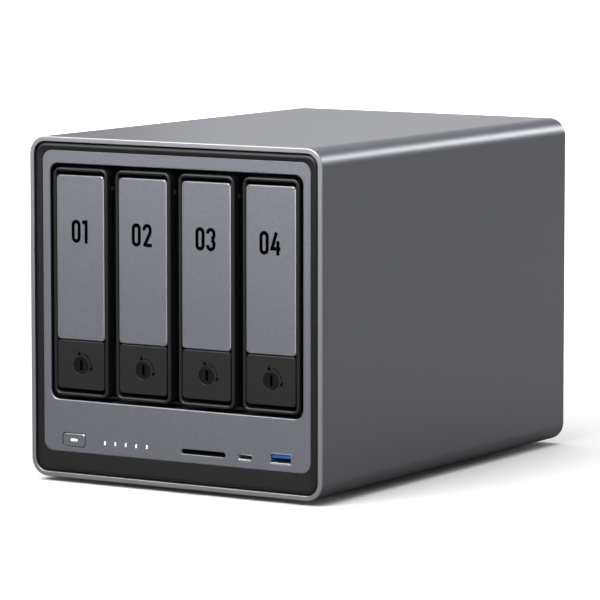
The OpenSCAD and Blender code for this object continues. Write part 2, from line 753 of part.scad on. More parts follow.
module network_ports() color([0.72, 0.73, 0.74])
  for (x = lan_x)
    difference() {
      block(x, rear_panel_y - 20, rear_row_z, lan_w, 21.3, lan_h);
      block(x, rear_panel_y - 12, rear_row_z + 3, 11.8, 14, 7.2);
      block(x, rear_panel_y - 12, rear_row_z + 1.2, 6, 14, 4);
    }

module video_port() color([0.72, 0.73, 0.74]) {
  z = rear_row_z + 3.2;
  difference() {
    slab(hdmi_x, z, 15, 6.2, 0.8, rear_panel_y - 10, 11.3);
    slab(hdmi_x, z, 14.2, 5.4, 0.5, rear_panel_y - 8.5, 12);
  }
  block(hdmi_x, rear_panel_y - 9, z - 0.6, 11, 8, 1.2);
}

module rear_usb_ports() color([0.72, 0.73, 0.74])
  for (level = [0, 1]) {
    z = rear_row_z + 3.9 + level * 7.8;
    difference() {
      block(usb_rear_x, rear_panel_y - 14, z - 3.9, 13.5, 15.3, 7.8);
      slab(usb_rear_x, z, 12.5, 5.1, 0.3, rear_panel_y - 12, 16);
    }
    block(usb_rear_x, rear_panel_y - 12.5, z + 0.2, 11, 12, 1.8);
  }

module reset_button() color([0.5, 0.5, 0.5]) {
  rod_y(reset_x, rear_panel_y - 5, rear_row_z + 5, 1.3, 5.4);
  rod_y(reset_x, rear_panel_y - 5, rear_row_z + 5, 2.4, 2);
}

outer_shell();
bottom_cover();
bottom_screws();
feet();
front_frame();
face_plate();
power_button();
power_light();
status_lights();
front_board();
card_reader();
usb_c_port();
usb_a_port();
usb_a_tongue();
drive_cage();
tray_guides();
backplane();
drive_sockets();
main_board();
board_standoffs();
heat_sink();
memory_sockets();
memory_module();
power_supply();
power_inlet();
rear_panel();
fan_frame();
fan_rotor();
rear_screws();
filter_frame();
filter_mesh();
network_ports();
video_port();
rear_usb_ports();
reset_button();
for (n = [1:tray_count]) {
  tray_carrier(n);
  tray_ring(n);
  tray_handle(n);
  tray_face(n);
  tray_latch(n);
  tray_lock(n);
}
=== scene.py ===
import json
import math

import bmesh
import bpy
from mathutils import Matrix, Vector


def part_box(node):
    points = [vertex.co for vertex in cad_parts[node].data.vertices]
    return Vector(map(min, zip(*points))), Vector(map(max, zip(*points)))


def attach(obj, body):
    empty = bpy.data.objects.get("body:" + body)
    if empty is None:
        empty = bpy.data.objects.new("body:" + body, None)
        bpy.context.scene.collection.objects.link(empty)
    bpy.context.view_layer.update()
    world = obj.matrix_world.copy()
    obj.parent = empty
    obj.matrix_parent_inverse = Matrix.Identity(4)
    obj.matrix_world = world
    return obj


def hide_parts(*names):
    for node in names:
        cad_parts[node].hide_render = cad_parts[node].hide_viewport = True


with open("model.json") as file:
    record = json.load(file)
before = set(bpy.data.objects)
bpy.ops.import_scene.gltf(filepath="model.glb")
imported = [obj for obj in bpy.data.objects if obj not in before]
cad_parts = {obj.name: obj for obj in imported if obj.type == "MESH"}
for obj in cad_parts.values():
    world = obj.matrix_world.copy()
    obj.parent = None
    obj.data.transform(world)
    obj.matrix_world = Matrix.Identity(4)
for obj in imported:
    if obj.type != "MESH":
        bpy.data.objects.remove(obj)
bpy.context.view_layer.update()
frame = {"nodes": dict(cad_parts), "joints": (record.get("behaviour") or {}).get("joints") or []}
mm = 0.001

# ---- Studio ----
# A long lens looks at the enclosure from the front right, a little above it. The enclosure
# stands on a pale floor under a white backdrop, and the floor is clear from below.

aim_height = 87.3 * mm
distance = 2.2327
azimuth = math.radians(31.63)
elevation = math.radians(6.48)
towards_camera = Vector((math.sin(azimuth) * math.cos(elevation),
                         -math.cos(azimuth) * math.cos(elevation), math.sin(elevation)))
camera = bpy.data.objects.new("Camera", bpy.data.cameras.new("Camera"))
bpy.context.collection.objects.link(camera)
camera.data.sensor_width = 36
camera.data.lens = 249.6
camera.data.shift_x = -0.0087
camera.data.clip_end = 100
camera.location = Vector((0, 0, aim_height)) + towards_camera * distance
camera.rotation_mode = "QUATERNION"
camera.rotation_quaternion = (-towards_camera).to_track_quat("-Z", "Y")
bpy.context.scene.camera = camera
bpy.context.scene.view_settings.view_transform = "Standard"


def new_material(name, colour, metallic=0.0, roughness=0.5):
    """A material with its Principled BSDF set, and short names for its nodes and links"""
    material = bpy.data.materials.new(name)
    material.use_nodes = True
    material.diffuse_color = (*colour, 1)
    shader = material.node_tree.nodes["Principled BSDF"]
    shader.inputs["Base Color"].default_value = (*colour, 1)
    shader.inputs["Metallic"].default_value = metallic
    shader.inputs["Roughness"].default_value = roughness
    return material, material.node_tree.nodes, material.node_tree.links, shader


def ranged(nodes, from_min, from_max, to_min, to_max):
    """A Map Range node with its four limits set"""
    node = nodes.new("ShaderNodeMapRange")
    node.inputs["From Min"].default_value = from_min
    node.inputs["From Max"].default_value = from_max
    node.inputs["To Min"].default_value = to_min
    node.inputs["To Max"].default_value = to_max
    return node


def mixed(nodes, links, factor, first, second):
    """A Mix Shader node that goes from the first shader to the second by a factor"""
    node = nodes.new("ShaderNodeMixShader")
    links.new(factor, node.inputs[0])
    links.new(first.outputs[0], node.inputs[1])
    links.new(second.outputs[0], node.inputs[2])
    return node


# The floor reads as white paper to the eye, evenly lit far out, and as grey in reflections, as
# when the sides of a set are flagged with grey card. The grey has painted shade: it is darkest in
# front, on the left, near the enclosure, and lighter further out, so reflections show a shaded floor.
half_floor = 20
floor_mesh = bpy.data.meshes.new("Floor")
floor_mesh.from_pydata([(-half_floor, -half_floor, 0), (half_floor, -half_floor, 0),
                        (half_floor, half_floor, 0), (-half_floor, half_floor, 0)], [], [(0, 1, 2, 3)])
floor = bpy.data.objects.new("Floor", floor_mesh)
bpy.context.collection.objects.link(floor)
floor_material, nodes, links, shader = new_material("Floor paper", (0.86, 0.86, 0.86), roughness=0.9)
light_path = nodes.new("ShaderNodeLightPath")
floor_place = nodes.new("ShaderNodeTexCoord")

paper_reach = nodes.new("ShaderNodeVectorMath")
paper_reach.operation = "LENGTH"
fade = ranged(nodes, 0.1, 1.8, 0, 1.1)
paper_glow = nodes.new("ShaderNodeEmission")
lit_paper = nodes.new("ShaderNodeAddShader")
links.new(floor_place.outputs["Object"], paper_reach.inputs[0])
links.new(paper_reach.outputs["Value"], fade.inputs["Value"])
links.new(fade.outputs["Result"], paper_glow.inputs["Strength"])
links.new(shader.outputs[0], lit_paper.inputs[0])
links.new(paper_glow.outputs[0], lit_paper.inputs[1])

# Painted shade for reflections: the grey darkens towards a point in front of the enclosure, on the left, and
# lightens out to 1.2 m from it.
shade_reach = nodes.new("ShaderNodeVectorMath")
shade_reach.operation = "DISTANCE"
shade_reach.inputs[1].default_value = (-0.15, -0.45, 0)
painted_shade_tone = ranged(nodes, 0.15, 1.2, 0.105, 0.32)
shaded_grey_card = nodes.new("ShaderNodeBsdfDiffuse")
links.new(floor_place.outputs["Object"], shade_reach.inputs[0])
links.new(shade_reach.outputs["Value"], painted_shade_tone.inputs["Value"])
links.new(painted_shade_tone.outputs["Result"], shaded_grey_card.inputs["Color"])

upper_side = mixed(nodes, links, light_path.outputs["Is Camera Ray"], shaded_grey_card, lit_paper)
floor_side = nodes.new("ShaderNodeNewGeometry")
clear = nodes.new("ShaderNodeBsdfTransparent")
both_sides = mixed(nodes, links, floor_side.outputs["Backfacing"], upper_side, clear)
links.new(both_sides.outputs[0], nodes["Material Output"].inputs["Surface"])
floor_mesh.materials.append(floor_material)

# The room gives a faint even light, and only the eye meets the white backdrop.
world = bpy.data.worlds.new("Studio")
world.use_nodes = True
nodes, links = world.node_tree.nodes, world.node_tree.links
room = nodes["Background"]
room.inputs["Color"].default_value = (0.95, 0.97, 1.0, 1)
room.inputs["Strength"].default_value = 0.16
backdrop = nodes.new("ShaderNodeBackground")
backdrop.inputs["Color"].default_value = (1, 1, 1, 1)
light_path = nodes.new("ShaderNodeLightPath")
surroundings = mixed(nodes, links, light_path.outputs["Is Camera Ray"], room, backdrop)
links.new(surroundings.outputs[0], nodes["World Output"].inputs["Surface"])
bpy.context.scene.world = world


def softbox(name, place, target, size, power, size_y=None, spread=180):
    """A rectangular area light that faces a target, out of the camera's sight. Sizes are in
    metres, the power is in watts and the spread is in degrees"""
    lamp = bpy.data.lights.new(name, "AREA")
    lamp.shape = "RECTANGLE"
    lamp.size = size
    lamp.size_y = size_y or size
    lamp.energy = power
    lamp.spread = math.radians(spread)
    lamp_object = bpy.data.objects.new(name, lamp)
    bpy.context.collection.objects.link(lamp_object)
    lamp_object.location = place
    lamp_object.visible_camera = False
    lamp_object.rotation_mode = "QUATERNION"
    lamp_object.rotation_quaternion = (Vector(target) - Vector(place)).to_track_quat("-Z", "Y")


middle = (0, 0, 0.09)
above_front = (0, -0.13, 0.24)
softbox("Overhead softbox", (-0.2, 0.2, 3.0), middle, size=3.4, power=105)
softbox("Front softbox", (-0.75, -2.1, 1.25), middle, size=1.1, power=11)
softbox("Front top panel", (-0.1, -0.55, 0.58), above_front, size=0.75, power=1.95, size_y=0.5, spread=90)
softbox("Back left panel", (-1.0, 3.23, 0.6), middle, size=2.2, power=8.8, size_y=1.0)
softbox("Back right strip", (0.96, 2.11, 1.0), middle, size=0.9, power=11.5, size_y=0.35)
softbox("Right front strip", (2.2, -1.35, 0.35), middle, size=0.5, power=7, size_y=1.1)

# ---- Sleeve ----
# One aluminium extrusion, bead-blasted and anodised grey. Both ends are cut to a bright bevel
# after anodising. The bottom has a rebated window for the service cover.


def outline(x, z, w, h, r, y, lying=False, steps=10):
    """Points round a rounded rectangle that stands at depth y, or lies at height y"""
    points = []
    for corner, (side, up) in enumerate([(1, 1), (-1, 1), (-1, -1), (1, -1)]):
        for i in range(steps + 1):
            angle = math.pi / 2 * (corner + i / steps)
            u = x + side * (w / 2 - r) + r * math.cos(angle)
            v = z + up * (h / 2 - r) + r * math.sin(angle)
            points.append((u, v, y) if lying else (u, y, v))
    return points


def nested(x, z, w, h, r, rows):
    """Outlines of one shape, each grown by the first of its pair and set at the second's depth"""
    return [outline(x, z, w + 2 * grow, h + 2 * grow, max(r + grow, 0.1 * mm), y) for grow, y in rows]


def make_object(name, bm, materials, body):
    """Turns a bmesh into a piece with soft shading over its curves and hard shading over its edges"""
    bmesh.ops.recalc_face_normals(bm, faces=bm.faces)
    mesh = bpy.data.meshes.new(name)
    bm.to_mesh(mesh)
    bm.free()
    for material in materials:
        mesh.materials.append(material)
    mesh.shade_smooth()
    mesh.set_sharp_from_angle(angle=math.radians(32))
    piece = bpy.data.objects.new(name, mesh)
    bpy.context.collection.objects.link(piece)
    piece.modifiers.new("Flat faces stay flat", "WEIGHTED_NORMAL").keep_sharp = True
    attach(piece, body)
    return piece


def wrap(bm, rows, closed=False, bright=()):
    """Adds a skin over a row of outlines. A closed one joins its last row to its first, and an
    open one is capped. Bands whose number is in bright take the second material"""
    rings = [[bm.verts.new(point) for point in row] for row in rows]
    count = len(rings[0])
    for band in range(len(rings) if closed else len(rings) - 1):
        near, far = rings[band], rings[(band + 1) % len(rings)]
        for i in range(count):
            j = (i + 1) % count
            face = bm.faces.new((near[i], near[j], far[j], far[i]))
            face.material_index = 1 if band in bright else 0
    if not closed:
        bm.faces.new(rings[0])
        bm.faces.new(rings[-1])


def loft(name, rows, materials, body, closed=False, bright=()):
    """A piece that is one skin over a row of outlines"""
    bm = bmesh.new()
    wrap(bm, rows, closed, bright)
    return make_object(name, bm, materials, body)


def cutter(rows):
    """A closed body that is only used to cut with"""
    bm = bmesh.new()
    wrap(bm, rows)
    bmesh.ops.recalc_face_normals(bm, faces=bm.faces)
    mesh = bpy.data.meshes.new("cutter")
    bm.to_mesh(mesh)
    bm.free()
    body = bpy.data.objects.new("cutter", mesh)
    bpy.context.collection.objects.link(body)
    return body


def cut(piece, *cutters):
    """Takes the cutters' shapes out of a piece and applies that"""
    for body in cutters:
        modifier = piece.modifiers.new("Cut", "BOOLEAN")
        modifier.object = body
        modifier.solver = "EXACT"
        piece.modifiers.move(len(piece.modifiers) - 1, 0)
        with bpy.context.temp_override(object=piece, active_object=piece):
            bpy.ops.object.modifier_apply(modifier=modifier.name)
        bpy.data.objects.remove(body)
    piece.data.shade_smooth()
    piece.data.set_sharp_from_angle(angle=math.radians(32))


def grain_group():
    """Fine surface grain, with a slow mottle over it: height for bumps, mottle for colour"""
    group = bpy.data.node_groups.new("Fine grain", "ShaderNodeTree")
    socket = group.interface.new_socket
    for label, value in [("Grain size", 2600.0), ("Mottle size", 420.0)]:
        socket(name=label, in_out="INPUT", socket_type="NodeSocketFloat").default_value = value
    for label in ("Height", "Mottle"):
        socket(name=label, in_out="OUTPUT", socket_type="NodeSocketFloat")
    start = group.nodes.new("NodeGroupInput")
    end = group.nodes.new("NodeGroupOutput")
    place = group.nodes.new("ShaderNodeTexCoord")
    fine = group.nodes.new("ShaderNodeTexNoise")
    fine.inputs["Detail"].default_value = 2
    broad = group.nodes.new("ShaderNodeTexNoise")
    broad.inputs["Detail"].default_value = 3
    both = group.nodes.new("ShaderNodeMath")
    both.operation = "ADD"
    halve = group.nodes.new("ShaderNodeMath")
    halve.operation = "MULTIPLY"
    halve.inputs[1].default_value = 0.5
    for noise, label in ((fine, "Grain size"), (broad, "Mottle size")):
        group.links.new(place.outputs["Object"], noise.inputs["Vector"])
        group.links.new(start.outputs[label], noise.inputs["Scale"])
    group.links.new(fine.outputs["Fac"], both.inputs[0])
    group.links.new(broad.outputs["Fac"], both.inputs[1])
    group.links.new(both.outputs[0], halve.inputs[0])
    group.links.new(fine.outputs["Fac"], end.inputs["Height"])
    group.links.new(halve.outputs[0], end.inputs["Mottle"])
    return group


fine_grain = grain_group()


def two_tones(nodes, first, second, start=0.0, stop=1.0):
    """A colour ramp between two colours"""
    ramp = nodes.new("ShaderNodeValToRGB")
    lower, upper = ramp.color_ramp.elements
    lower.position = start
    upper.position = stop
    lower.color = (*first, 1)
    upper.color = (*second, 1)
    return ramp


def grained(name, colour, metallic, roughness, grain=4200.0, mottle=2000.0, depth=0.01, contrast=0.12,
            spread=0.06, soft=0.2):
    """A material whose colour, gloss and surface vary with the fine grain"""
    material, nodes, links, shader = new_material(name, colour, metallic, roughness)
    surface = nodes.new("ShaderNodeGroup")
    surface.node_tree = fine_grain
    surface.inputs["Grain size"].default_value = grain
    surface.inputs["Mottle size"].default_value = mottle
    darker = [c * (1 - contrast) for c in colour]
    lighter = [min(1, c * (1 + contrast)) for c in colour]
    tone = two_tones(nodes, darker, lighter, 0.5 - soft, 0.5 + soft)
    gloss = ranged(nodes, 0, 1, roughness - spread, roughness + spread)
    bump = nodes.new("ShaderNodeBump")
    bump.inputs["Strength"].default_value = 0.35
    bump.inputs["Distance"].default_value = depth * mm
    links.new(surface.outputs["Mottle"], tone.inputs["Fac"])
    links.new(surface.outputs["Mottle"], gloss.inputs["Value"])
    links.new(surface.outputs["Height"], bump.inputs["Height"])
    links.new(tone.outputs["Color"], shader.inputs["Base Color"])
    links.new(gloss.outputs["Result"], shader.inputs["Roughness"])
    links.new(bump.outputs["Normal"], shader.inputs["Normal"])
    return material


sleeve_metal = grained("Anodised sleeve", (0.285, 0.29, 0.316), 0.94, 0.43, mottle=1900.0, depth=0.012,
                       soft=0.12)
cut_rim = grained("Cut rim", (0.5, 0.505, 0.53), 1.0, 0.48, depth=0.004, contrast=0.05, spread=0.03)

low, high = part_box("outer_shell")
case_w, case_h = high.x - low.x, high.z - low.z
front, rear = low.y, high.y
mid_z = (low.z + high.z) / 2
case_r = 9.5 * mm
wall = 2.6 * mm


def sleeve_row(inset, y):
    return outline(0, mid_z, case_w - 2 * inset, case_h - 2 * inset, case_r - inset, y, steps=16)


# Insets and depths of the bevel, in millimetres, outside and inside the mouth
rim_profile = [(0, 0.75), (0.03, 0.5), (0.13, 0.22), (0.3, 0.05), (0.5, 0)]
mouth_profile = [(0.2, 0), (0.04, 0.14), (0, 0.4)]
front_rows = [sleeve_row(i * mm, front + d * mm) for i, d in rim_profile]
front_rows += [sleeve_row(wall - i * mm, front + d * mm) for i, d in mouth_profile]
rear_rows = [sleeve_row(wall - i * mm, rear - d * mm) for i, d in reversed(mouth_profile)]
rear_rows += [sleeve_row(i * mm, rear - d * mm) for i, d in reversed(rim_profile)]
cut_bands = len(front_rows) - 1
sleeve = loft("outer_sleeve", front_rows + rear_rows, [sleeve_metal, cut_rim], "root", closed=True,
              bright=[*range(cut_bands), *range(cut_bands + 1, 2 * cut_bands + 1)])

cover_low, cover_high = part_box("bottom_cover")
cover_y = (cover_low.y + cover_high.y) / 2
cover_w, cover_l = cover_high.x - cover_low.x, cover_high.y - cover_low.y
cover_gap = 0.6 * mm
ledge = 15 * mm
rebate = cutter([outline(0, cover_y, cover_w + cover_gap, cover_l + cover_gap, 5 * mm, low.z + z, True)
                 for z in (-mm, cover_high.z - cover_low.z)])
window = cutter([outline(0, cover_y, cover_w - ledge, cover_l - ledge, 3 * mm, low.z + z, True)
                 for z in (-mm, 2 * wall)])
cut(sleeve, rebate, window)
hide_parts("outer_shell")

# ---- Rear lugs ----
# Four aluminium lugs stand inside the sleeve's rear corners and take the rear panel's screws.
# They are chamfered at both ends and anodised with the sleeve.

lug, lug_depth, lug_r = 11 * mm, 12 * mm, 3.2 * mm
lug_chamfer = 0.3 * mm
lug_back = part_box("rear_panel")[0].y
lug_front = lug_back - lug_depth
inner_w, inner_h = case_w - 2 * wall, case_h - 2 * wall
for side, side_name in ((-1, "left"), (1, "right")):
    for up, height_name in ((-1, "bottom"), (1, "top")):
        x, z = side * (inner_w / 2 - lug / 2), mid_z + up * (inner_h / 2 - lug / 2)
        lug_rows = [outline(x, z, lug - 2 * inset, lug - 2 * inset, lug_r, y)
                    for inset, y in ((lug_chamfer, lug_front), (0, lug_front + lug_chamfer),
                                     (0, lug_back - lug_chamfer), (lug_chamfer, lug_back))]
        corner = loft(f"lug_{side_name}_{height_name}", lug_rows, [sleeve_metal], "root")

# ---- Front frame ----
# One black ABS moulding behind the sleeve's front edge. Its rounded lip slopes inwards to the
# face plate, and the slope widens into a chin below. A fine spark-eroded texture covers it.


def spark_textured(name, colour, roughness, depth=0.012):
    """A black moulding with the fine texture of a spark-eroded mould"""
    return grained(name, colour, 0.0, roughness, grain=3800.0, mottle=900.0, depth=depth)


frame_plastic = spark_textured("Frame plastic", (0.008, 0.008, 0.0083), 0.46)
frame_low, frame_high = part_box("front_frame")
plate_low, plate_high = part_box("face_plate")
frame_w, frame_h, frame_r = frame_high.x - frame_low.x, frame_high.z - frame_low.z, 6.6 * mm
plate_w, plate_h, plate_r = plate_high.x - plate_low.x, plate_high.z - plate_low.z, 5.5 * mm
plate_z = (plate_low.z + plate_high.z) / 2
plate_y, seat_y = plate_low.y, plate_high.y
bay_w, bay_h, bay_r = 154.4 * mm, 123.3 * mm, 5 * mm
ring_low, ring_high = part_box("tray_1_ring")
bay_z = (ring_low.z + ring_high.z) / 2
lip_r = seat_y - frame_low.y
seam = 0.1 * mm


def frame_row(inset, y):
    return outline(0, mid_z, frame_w - 2 * inset, frame_h - 2 * inset, max(frame_r - inset, mm), y, steps=12)


def plate_row(grow, y):
    return outline(0, plate_z, plate_w + 2 * grow, plate_h + 2 * grow, plate_r + grow, y, steps=12)


def bay_row(grow, y):
    return outline(0, bay_z, bay_w + 2 * grow, bay_h + 2 * grow, bay_r + grow, y, steps=12)


quarter = [math.pi / 2 * i / 8 for i in range(9)]
front_frame = loft("front_frame_moulding", [
    frame_row(0, frame_high.y),
    *[frame_row(lip_r * (1 - math.cos(a)), seat_y - lip_r * math.sin(a)) for a in quarter],
    frame_row(lip_r + 0.35 * mm, frame_low.y + 0.02 * mm),
    plate_row(seam + 0.1 * mm, plate_y - 0.02 * mm),
    plate_row(seam, plate_y + 0.1 * mm),
    plate_row(seam, seat_y),
    bay_row(0, seat_y),
    bay_row(0, frame_high.y),
], [frame_plastic], "root", closed=True)

# The chin is hollow behind, where the front board sits
pocket_z, pocket_w, pocket_h, pocket_r = low.z + 21.5 * mm, frame_w - 7 * mm, 33 * mm, 3 * mm
cut(front_frame, cutter([outline(0, pocket_z, pocket_w, pocket_h, pocket_r, y)
                         for y in (seat_y + 2 * mm, frame_high.y + mm)]))

# ---- Face plate ----
# A 1.5 mm aluminium sheet, glued onto the frame. Its edges and holes are bevelled, and it is
# then blasted and anodised.


def blasted(name, roughness=0.46):
    """Aluminium that is blasted coarser than the sleeve and anodised a lighter grey"""
    return grained(name, (0.365, 0.376, 0.42), 0.94, roughness, mottle=1900.0, depth=0.012, contrast=0.17,
                   soft=0.1)


def centre(box):
    """The middle of a box in X and Z, and its width and height"""
    box_low, box_high = box
    return ((box_low.x + box_high.x) / 2, (box_low.z + box_high.z) / 2,
            box_high.x - box_low.x, box_high.z - box_low.z)


button_x, button_z, bar_w, bar_h = centre(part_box("power_light"))
bar_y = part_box("power_light")[0].y
button_w, button_h, button_r = 14.3 * mm, 6.9 * mm, 1.8 * mm
lights_low, lights_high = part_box("status_lights")
light_w, light_h = lights_high.x - lights_low.x, lights_high.z - lights_low.z
led_w, led_count = 1.15 * mm, 5
led_pitch = (light_w - led_w + seam) / (led_count - 1)
led_xs = [lights_low.x + (led_w - seam) / 2 + i * led_pitch for i in range(led_count)]
led_z = (lights_low.z + lights_high.z) / 2
slot_w, slot_h = 0.85 * mm, light_h - 0.15 * mm
usb_c_low, usb_c_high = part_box("usb_c_port")
usb_c_x, usb_c_z, usb_c_w, usb_c_h = centre((usb_c_low, usb_c_high))
usb_a_low, usb_a_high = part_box("usb_a_port")
usb_a_x, usb_a_z, usb_a_w, usb_a_h = centre((usb_a_low, usb_a_high))

# Each hole is its middle, width, height and corner radius
button_hole = (button_x, button_z, button_w + 0.5 * mm, button_h + 0.5 * mm, button_r + 0.25 * mm)
led_holes = [(x, led_z, slot_w + seam, slot_h + seam, (slot_w + seam) / 2 - 0.01 * mm) for x in led_xs]
card_hole = (17.25 * mm, low.z + 19.45 * mm, 26.8 * mm, 2.65 * mm, 1.3 * mm)
usb_c_hole = (usb_c_x, usb_c_z, 8.9 * mm, 3.1 * mm, 1.5 * mm)
usb_a_hole = (usb_a_x, usb_a_z, 12.9 * mm, 5.5 * mm, 0.5 * mm)
tight_flare, open_flare = 0.06 * mm, 0.22 * mm


def hole_cutter(hole, flare, y, depth):
    """A cutter for one hole, flared at the front so that it leaves a bevel"""
    return cutter(nested(*hole, [(flare + 0.1 * mm, y - 0.1 * mm), (0, y + flare), (0, y + depth)]))


plate_metal = blasted("Blasted face plate")
face_bevel, bay_bevel = 0.25 * mm, 0.4 * mm
face_plate = loft("face_plate_sheet", [
    plate_row(0, seat_y),
    plate_row(0, plate_y + face_bevel),
    plate_row(-face_bevel, plate_y),
    bay_row(bay_bevel, plate_y),
    bay_row(0, plate_y + bay_bevel),
    bay_row(0, seat_y),
], [plate_metal], "root", closed=True)
tight_holes, open_holes = [button_hole, *led_holes], [card_hole, usb_c_hole, usb_a_hole]
for flare, holes in ((tight_flare, tight_holes), (open_flare, open_holes)):
    for hole in holes:
        x, z, w, h, r = hole
        cut(face_plate, hole_cutter(hole, flare, plate_y, 3 * mm))
        cut(front_frame, cutter([outline(x, z, w + seam, h + seam, r, y)
                                 for y in (seat_y - mm, seat_y + 3 * mm)]))
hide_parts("front_frame")
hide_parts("face_plate")

# ---- Power button ----
# A blasted aluminium cap with a bright bevel and a flange behind the frame, and a lit bar of
# frosted acrylic through its middle.

button_metal = blasted("Blasted button cap", roughness=0.44)
bright_cut = grained("Bright cut edge", (0.58, 0.59, 0.62), 1.0, 0.28, depth=0.002, contrast=0.04,
                     spread=0.03)
cap_low, cap_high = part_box("power_button")


def button_row(grow, y):
    corner_r = button_r + min(grow, 0) * 0.9
    return outline(button_x, button_z, button_w + 2 * grow, button_h + 2 * grow, corner_r, y)


cap_y, cap_play = cap_low.y, -0.15 * mm
flange_y, flange_back = seat_y + 2.3 * mm, seat_y + 3.5 * mm
flange, stem = 1.5 * mm, -1.4 * mm
button = loft("power_button_cap", [
    button_row(-0.5 * mm, cap_y),
    button_row(-0.2 * mm, cap_y + 0.25 * mm),
    button_row(cap_play, cap_y + 0.45 * mm),
    button_row(cap_play, flange_y),
    button_row(flange, flange_y),
    button_row(flange, flange_back),
    button_row(stem, flange_back),
    button_row(stem, cap_high.y),
], [button_metal, bright_cut], "power_button", bright=(0,))
cut(button, hole_cutter((button_x, button_z, bar_w, bar_h, 0.58 * mm), tight_flare, cap_y, 2.2 * mm))
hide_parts("power_button")

lit_acrylic, nodes, links, shader = new_material("Lit acrylic", (0.95, 0.96, 1.0), roughness=0.35)
acrylic_place = nodes.new("ShaderNodeTexCoord")
frosting = nodes.new("ShaderNodeTexNoise")
frosting.inputs["Scale"].default_value = 900
frosting_tint = two_tones(nodes, (0.86, 0.91, 1.0), (1, 1, 1))
links.new(acrylic_place.outputs["Object"], frosting.inputs["Vector"])
links.new(frosting.outputs["Fac"], frosting_tint.inputs["Fac"])
links.new(frosting_tint.outputs["Color"], shader.inputs["Emission Color"])
shader.inputs["Emission Strength"].default_value = 1.05


def light_bar(name, x, z, w, h, y, depth, body):
    """A light pipe with rounded ends and a slightly domed front"""
    rows = [(-0.3 * mm, y), (-0.1 * mm, y + 0.05 * mm), (0, y + 0.2 * mm), (0, y + depth)]
    pipe = loft(name, nested(x, z, w, h, min(w, h) / 2 - 0.02 * mm, rows), [lit_acrylic], body)
    return pipe


bar_play = 0.04 * mm
power_light = light_bar("power_light_bar", button_x, button_z, bar_w - bar_play, bar_h - bar_play,
                        bar_y, 2.1 * mm, "power_button")
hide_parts("power_light")

# ---- Status lights ----
# Five light pipes, moulded in frosted acrylic. They end flush in slots in the face plate, and
# lead light from the front board.

for number, x in enumerate(led_xs, start=1):
    pipe = light_bar(f"status_light_{number}", x, led_z, slot_w, slot_h, lights_low.y, 8 * mm, "root")
    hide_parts("status_lights")

# ---- Tray rings ----
# Each tray front is one black moulding: a ring with a half-round rim, and a box behind it that is
# open at the front. Its walls are bored for the lever's trunnions, its back for the latch's posts.


def disc(x, z, r, y, lying=False):
    """Points round a circle that stands at depth y, or lies at height y"""
    return outline(x, z, 2 * r, 2 * r, r - 0.001 * mm, y, lying)


def wheel(x, y, z, r, steps=24):
    """Points round a circle that faces along X"""
    turns = [math.tau * i / steps for i in range(steps)]
    return [(x, y + r * math.cos(a), z + r * math.sin(a)) for a in turns]


tray_plastic = spark_textured("Tray plastic", (0.015, 0.015, 0.0155), 0.36, depth=0.010)
tray_names = [f"tray_{tray}" for tray in range(1, 5)]
tray_xs = [centre(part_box(f"{name}_ring"))[0] for name in tray_names]
ring_w, ring_h, ring_r = ring_high.x - ring_low.x, ring_high.z - ring_low.z, 4 * mm
ring_wall, ring_back_wall, ring_chamfer = 1.95 * mm, 2 * mm, 0.3 * mm
ring_back = ring_high.y
rim_y = ring_low.y + ring_wall / 2
half_turn = [math.pi * i / 10 for i in range(11)]
hinge = next(joint for joint in frame["joints"] if joint["name"] == "handle_1_swing")
hinge_y, hinge_z = hinge["pos_m"][1], hinge["pos_m"][2]
lock_r = 4.6 * mm
lock_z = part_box("tray_1_lock")[1].z - lock_r
post_x = 11.5 * mm
pin_bore_r, post_bore_r = 1.35 * mm, 1.8 * mm


def ring_row(x, inset, y):
    return outline(x, bay_z, ring_w - 2 * inset, ring_h - 2 * inset, max(ring_r - inset, mm), y)


for name, x in zip(tray_names, tray_xs):
    ring = loft(f"{name}_front_ring", [
        ring_row(x, ring_chamfer, ring_back),
        ring_row(x, 0, ring_back - ring_chamfer),
        *[ring_row(x, ring_wall / 2 * (1 - math.cos(a)), rim_y - ring_wall / 2 * math.sin(a))
          for a in half_turn],
        ring_row(x, ring_wall, ring_back - ring_back_wall),
    ], [tray_plastic], name)
    cut(ring, cutter([wheel(u, hinge_y, hinge_z, pin_bore_r) for u in (x - ring_w, x + ring_w)]))
    for side in (-1, 1):
        bore = (x + side * post_x, lock_z, 2 * post_bore_r, 2 * post_bore_r, post_bore_r - 0.01 * mm)
        cut(ring, cutter([outline(*bore, y) for y in (ring_back - 3 * mm, ring_back + mm)]))
    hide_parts(f"{name}_ring")

# ---- Levers and carriers ----
# The lever and the drive carrier are mouldings in the ring's plastic, and keep their shapes.

for name in tray_names:
    for part in ("handle", "carrier"):
        mesh = frame["nodes"][f"{name}_{part}"].data
        mesh.materials.clear()
        mesh.materials.append(tray_plastic)

# ---- Tray faces ----
# A blasted aluminium skin is glued onto each lever. A bright bevel is cut round its front edge
# after anodising.

face_metal = blasted("Blasted tray face")
panel_r = 2 * mm
face_low, face_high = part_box("tray_1_face")
face_z, face_w, face_h = centre((face_low, face_high))[1:]
skin_bevel = 0.35 * mm
skin_rows = [(0, face_high.y), (0, face_low.y + skin_bevel), (-skin_bevel, face_low.y)]
for number, x in enumerate(tray_xs, start=1):
    skin = loft(f"tray_{number}_skin", nested(x, face_z, face_w, face_h, panel_r, skin_rows),
                [face_metal, bright_cut], f"handle_{number}", bright=(1,))
    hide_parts(f"tray_{number}_face")

# ---- Bay numbers ----
# Each tray's number is printed on its face in thick black ink, in tall, condensed and open
# numerals.


